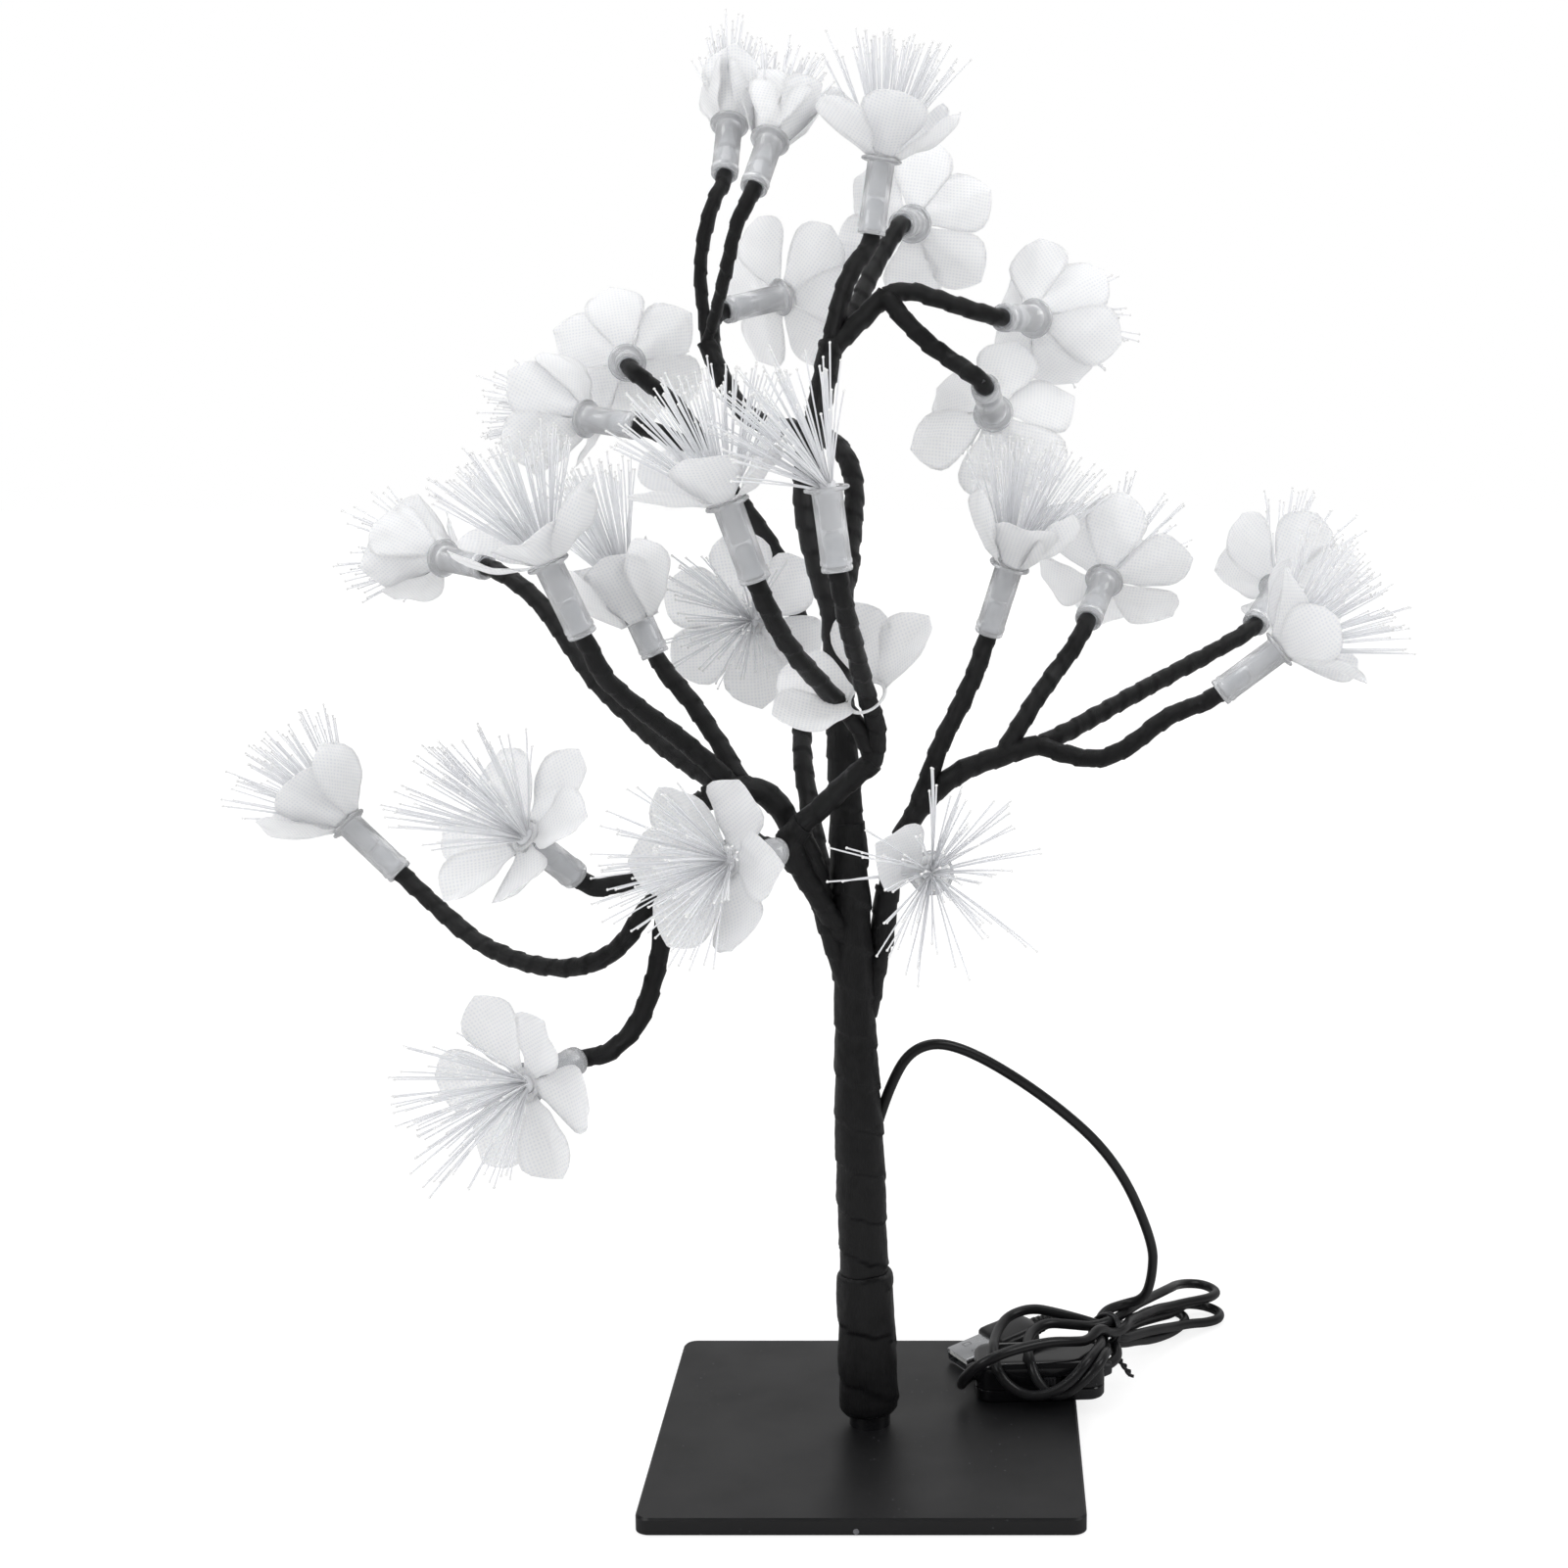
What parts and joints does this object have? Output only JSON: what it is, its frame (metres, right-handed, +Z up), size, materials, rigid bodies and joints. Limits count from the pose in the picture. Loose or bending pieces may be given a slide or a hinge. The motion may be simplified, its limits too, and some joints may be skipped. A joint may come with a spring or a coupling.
{
  "type": "fiber optic tree lamp",
  "caption": "Blossom tree lamp on a square base: taped bendable boughs end in clear sockets with LEDs, fibre-optic tufts and white cloth flowers; USB cord with inline switch.",
  "frame": {"origin": "centre of the base pad's underside, on the table", "axes": "+Z up along the tree, +X to the right seen from the front, +Y to the back"},
  "size_m": [0.34, 0.2164, 0.4082],
  "materials": {
    "base_plastic": "satin moulded black",
    "zinc_steel": "zinc plated",
    "foam": "matt foam",
    "post_paint": "gloss black",
    "black_tape": "satin wrinkled tape",
    "stem_wire": "annealed steel wire",
    "heat_shrink": "satin",
    "clear_plastic": "clear polished",
    "led_epoxy": "clear epoxy",
    "optic_fibre": "clear polished strands",
    "white_cloth": "fine woven, translucent",
    "cord_pvc": "satin",
    "tie_plastic": "satin",
    "switch_plastic": "gloss",
    "slider_plastic": "satin",
    "circuit_board": "satin",
    "plug_steel": "bright nickel",
    "tongue_plastic": "satin",
    "plug_rubber": "satin"
  },
  "bodies": {
    "root": {"ballast_sheet": "zinc_steel", "base_pad": "foam", "base_screw": "zinc_steel", "base_shell": "base_plastic", "cord_hank": "cord_pvc", "foot_post": "post_paint", "foot_tape": "black_tape", "leader_fibres": "optic_fibre", "leader_leds": "led_epoxy", "leader_petals": "white_cloth", "leader_sockets": "clear_plastic", "plug_body": "plug_rubber", "plug_shell": "plug_steel", "plug_tongue": "tongue_plastic", "splice_sleeve": "heat_shrink", "switch_board": "circuit_board", "switch_cover": "switch_plastic", "switch_tray": "switch_plastic", "trunk_core": "stem_wire", "trunk_tape": "black_tape", "twist_tie": "tie_plastic", "usb_cord": "cord_pvc"},
    "switch_slider": {"switch_slider": "slider_plastic"},
    "left": {"left_fibres": "optic_fibre", "left_leds": "led_epoxy", "left_petals": "white_cloth", "left_sockets": "clear_plastic", "left_tape": "black_tape", "left_wire": "stem_wire"},
    "right": {"right_fibres": "optic_fibre", "right_leds": "led_epoxy", "right_petals": "white_cloth", "right_sockets": "clear_plastic", "right_tape": "black_tape", "right_wire": "stem_wire"},
    "front": {"front_fibres": "optic_fibre", "front_leds": "led_epoxy", "front_petals": "white_cloth", "front_sockets": "clear_plastic", "front_tape": "black_tape", "front_wire": "stem_wire"},
    "rear_left": {"rear_left_fibres": "optic_fibre", "rear_left_leds": "led_epoxy", "rear_left_petals": "white_cloth", "rear_left_sockets": "clear_plastic", "rear_left_tape": "black_tape", "rear_left_wire": "stem_wire"},
    "rear_top": {"rear_top_fibres": "optic_fibre", "rear_top_leds": "led_epoxy", "rear_top_petals": "white_cloth", "rear_top_sockets": "clear_plastic", "rear_top_tape": "black_tape", "rear_top_wire": "stem_wire"}
  },
  "joints": [
    {"name": "left_bend", "type": "hinge", "parent": "root", "child": "left", "pos_m": [-0.015, -0.004, 0.171], "axis": [0, 1, 0], "range_deg": [-18, 6]},
    {"name": "right_bend", "type": "hinge", "parent": "root", "child": "right", "pos_m": [0.005, 0.003, 0.154], "axis": [0, 1, 0], "range_deg": [-5, 18]},
    {"name": "front_bend", "type": "hinge", "parent": "root", "child": "front", "pos_m": [-0.022, -0.013, 0.178], "axis": [1, 0, 0], "range_deg": [-3, 18]},
    {"name": "rear_left_bend", "type": "hinge", "parent": "root", "child": "rear_left", "pos_m": [-0.012, 0.009, 0.16], "axis": [1, 0, 0], "range_deg": [-18, 3]},
    {"name": "rear_top_bend", "type": "hinge", "parent": "root", "child": "rear_top", "pos_m": [-0.006, 0.019, 0.246], "axis": [1, 0, 0], "range_deg": [-18, 2]},
    {"name": "switch_slide", "type": "slide", "parent": "root", "child": "switch_slider", "axis": [0.9976, 0.0698, 0], "range_m": [0, 0.0034]}
  ]
}
